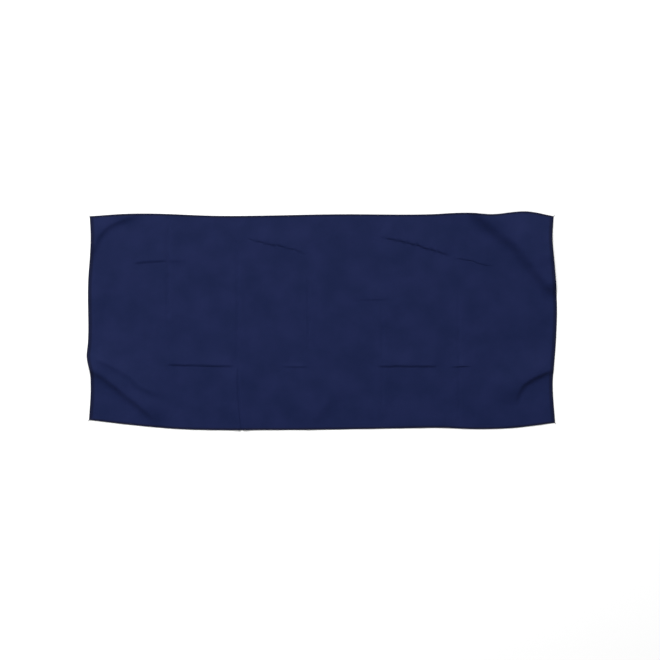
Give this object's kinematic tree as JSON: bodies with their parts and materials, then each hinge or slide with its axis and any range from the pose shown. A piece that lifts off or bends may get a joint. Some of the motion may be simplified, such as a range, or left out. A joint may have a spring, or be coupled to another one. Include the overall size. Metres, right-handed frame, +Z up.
{
  "type": "quick dry towel",
  "caption": "Dark blue microfibre travel towel laid flat, with overlocked edges and soft packing creases; it folds in half on its middle crease.",
  "frame": {"origin": "under the middle of the laid towel, on the surface that it lies on", "axes": "+X along the towel's length, towards its right end; +Y across it, towards its far side; +Z up out of the face that shows"},
  "size_m": [1.3042, 0.6058, 0.0078],
  "materials": {
    "cloth": "soft brushed microfibre, matt",
    "thread": "twisted polyester sewing thread, slight lustre"
  },
  "bodies": {
    "right_half": {"cloth_right_half": "cloth", "right_end_needle_thread": "thread", "right_end_upper_looper_thread": "thread", "right_end_lower_looper_thread": "thread", "far_side_right_needle_thread": "thread", "far_side_right_upper_looper_thread": "thread", "far_side_right_lower_looper_thread": "thread", "near_side_right_needle_thread": "thread", "near_side_right_upper_looper_thread": "thread", "near_side_right_lower_looper_thread": "thread", "far_right_corner_thread_tail": "thread", "near_right_corner_thread_tail": "thread"},
    "left_half": {"cloth_left_half": "cloth", "left_end_needle_thread": "thread", "left_end_upper_looper_thread": "thread", "left_end_lower_looper_thread": "thread", "far_side_left_needle_thread": "thread", "far_side_left_upper_looper_thread": "thread", "far_side_left_lower_looper_thread": "thread", "near_side_left_needle_thread": "thread", "near_side_left_upper_looper_thread": "thread", "near_side_left_lower_looper_thread": "thread", "far_left_corner_thread_tail": "thread", "near_left_corner_thread_tail": "thread"}
  },
  "joints": [
    {"name": "fold_in_half", "type": "hinge", "parent": "right_half", "child": "left_half", "pos_m": [-0.037, 0, 0.01], "axis": [0, 1, 0], "range_deg": [0, 180]}
  ]
}
